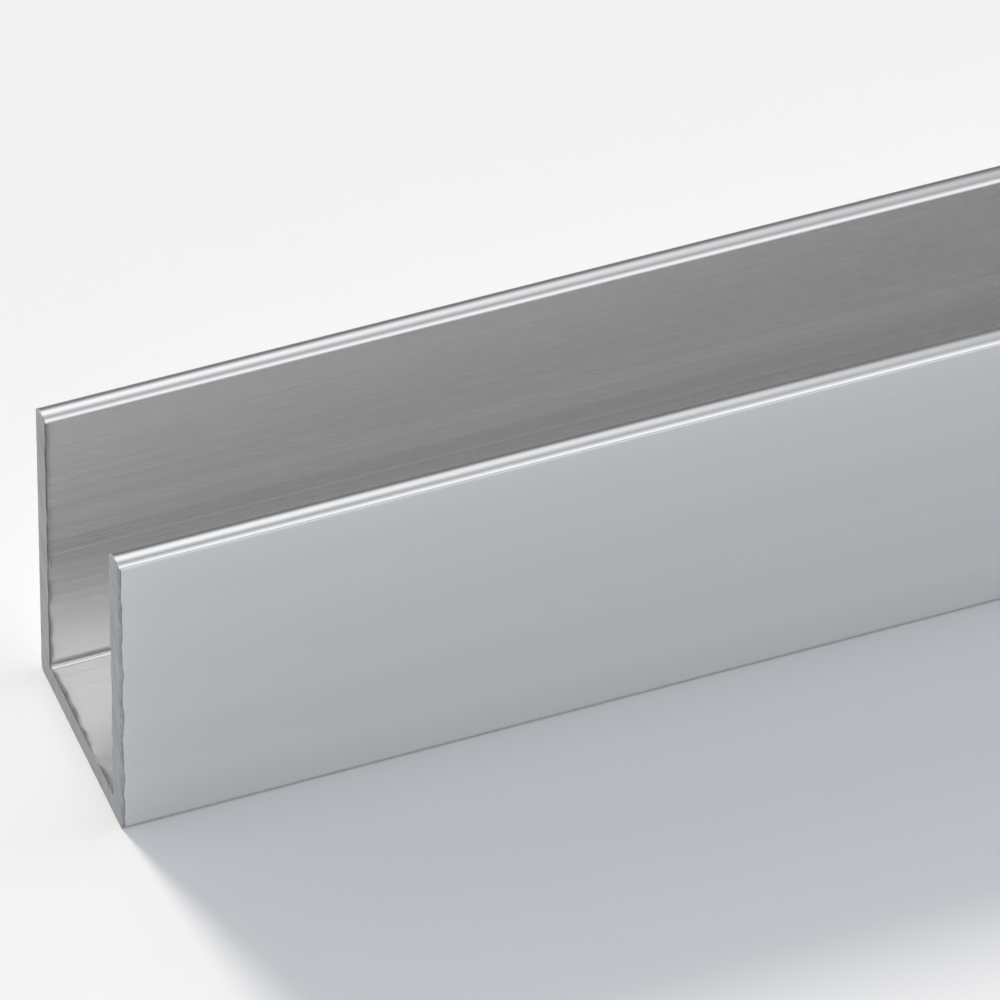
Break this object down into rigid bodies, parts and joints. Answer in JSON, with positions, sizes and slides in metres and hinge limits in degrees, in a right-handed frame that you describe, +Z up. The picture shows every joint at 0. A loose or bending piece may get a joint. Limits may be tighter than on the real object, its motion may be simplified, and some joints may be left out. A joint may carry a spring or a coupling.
{
  "type": "aluminium extrusion profile",
  "caption": "Straight deep U-channel extrusion: flat web with tall parallel flanges, open slot along its whole length, both ends sawn square. Frames, edges or guides panels and sliding parts.",
  "frame": {"origin": "on the web's underside, halfway along the length and halfway across the width", "axes": "+X along the length, +Y across the width from one flange to the other, +Z up from the web to the flange tips"},
  "size_m": [1, 0.02, 0.03],
  "materials": {
    "aluminium": "satin clear-anodised extrusion with fine lines along its length, plain matt metal on the sawn ends"
  },
  "bodies": {
    "root": {"channel": "aluminium"}
  },
  "joints": []
}
